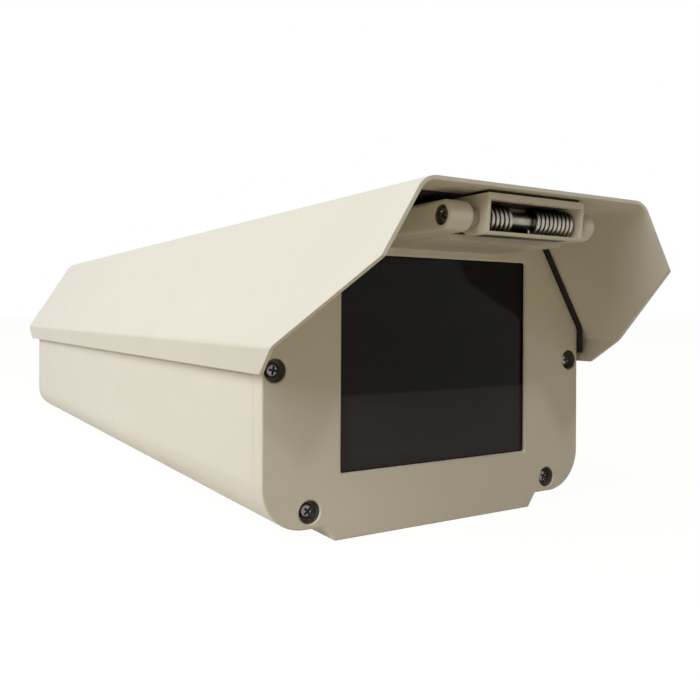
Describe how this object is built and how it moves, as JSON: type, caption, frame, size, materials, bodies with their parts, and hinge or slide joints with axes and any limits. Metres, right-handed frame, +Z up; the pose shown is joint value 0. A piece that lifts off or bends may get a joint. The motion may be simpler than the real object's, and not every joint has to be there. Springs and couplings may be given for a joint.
{
  "type": "security camera housing",
  "caption": "Long outdoor camera housing: a closed trough with a flat front window under a folded sun-hood lid that opens on a sprung front hinge.",
  "frame": {"origin": "centre of the whole object's footprint box, at the height of the foot's flat underside", "axes": "+Y runs back from the window to the cable glands, +Z up, +X to the right seen from the front"},
  "size_m": [0.1822, 0.5448, 0.1403],
  "materials": {
    "cream_coating": "fine-textured cream powder coat on aluminium sheet and extrusion",
    "cream_casting": "cream powder coat on cast aluminium",
    "dark_glass": "smooth dark glass",
    "black_rubber": "matt black rubber",
    "screw_steel": "dull plated steel",
    "bright_steel": "bright drawn steel",
    "zinc_steel": "zinc-plated steel",
    "tray_aluminium": "mill-finish aluminium",
    "grey_plastic": "matt grey nylon",
    "cream_plastic": "smooth cream nylon"
  },
  "bodies": {
    "housing": {"body_trough": "cream_coating", "front_plate": "cream_casting", "rear_plate": "cream_casting", "window_glass": "dark_glass", "front_gasket": "black_rubber", "rear_gasket": "black_rubber", "front_arch_seal": "black_rubber", "rear_arch_seal": "black_rubber", "window_gasket": "black_rubber", "side_seal_left": "black_rubber", "side_seal_right": "black_rubber", "gland_seal_1": "black_rubber", "gland_seal_2": "black_rubber", "gland_seal_3": "black_rubber", "front_plate_screws": "screw_steel", "rear_plate_screws": "screw_steel", "retainer_screws": "screw_steel", "tray_screws": "screw_steel", "camera_screw": "screw_steel", "camera_washer": "screw_steel", "pin_screw_left": "screw_steel", "pin_screw_right": "screw_steel", "hinge_pin": "bright_steel", "spring_left": "bright_steel", "spring_right": "bright_steel", "window_retainer": "zinc_steel", "nut_strip": "zinc_steel", "camera_tray": "tray_aluminium", "gland_body_1": "grey_plastic", "gland_locknut_1": "grey_plastic", "gland_dome_nut_1": "grey_plastic", "gland_body_2": "grey_plastic", "gland_locknut_2": "grey_plastic", "gland_dome_nut_2": "grey_plastic", "gland_body_3": "grey_plastic", "gland_locknut_3": "grey_plastic", "gland_dome_nut_3": "grey_plastic", "pin_spacer_left": "cream_plastic", "pin_spacer_right": "cream_plastic"},
    "lid": {"lid_cover": "cream_coating", "hinge_box": "cream_casting", "hinge_box_gasket": "black_rubber", "hinge_box_screws": "screw_steel", "lid_screw_washer_left": "screw_steel", "lid_screw_washer_right": "screw_steel"},
    "lid_screw_left": {"lid_screw_left": "screw_steel", "lid_screw_clip_left": "screw_steel"},
    "lid_screw_right": {"lid_screw_right": "screw_steel", "lid_screw_clip_right": "screw_steel"}
  },
  "joints": [
    {"name": "lid_hinge", "type": "hinge", "parent": "housing", "child": "lid", "pos_m": [0, -0.26015, 0.125], "axis": [1, 0, 0], "range_deg": [0, 90], "stiffness_Nm_per_rad": 0.3, "springref_deg": 137.51, "deforming": ["spring_left", "spring_right"]},
    {"name": "lid_screw_left_turn", "type": "hinge", "parent": "lid", "child": "lid_screw_left", "pos_m": [-0.03, 0.24035, 0.1369], "axis": [0, 0, 1], "continuous": true},
    {"name": "lid_screw_right_turn", "type": "hinge", "parent": "lid", "child": "lid_screw_right", "pos_m": [0.03, 0.24035, 0.1369], "axis": [0, 0, 1], "continuous": true}
  ]
}
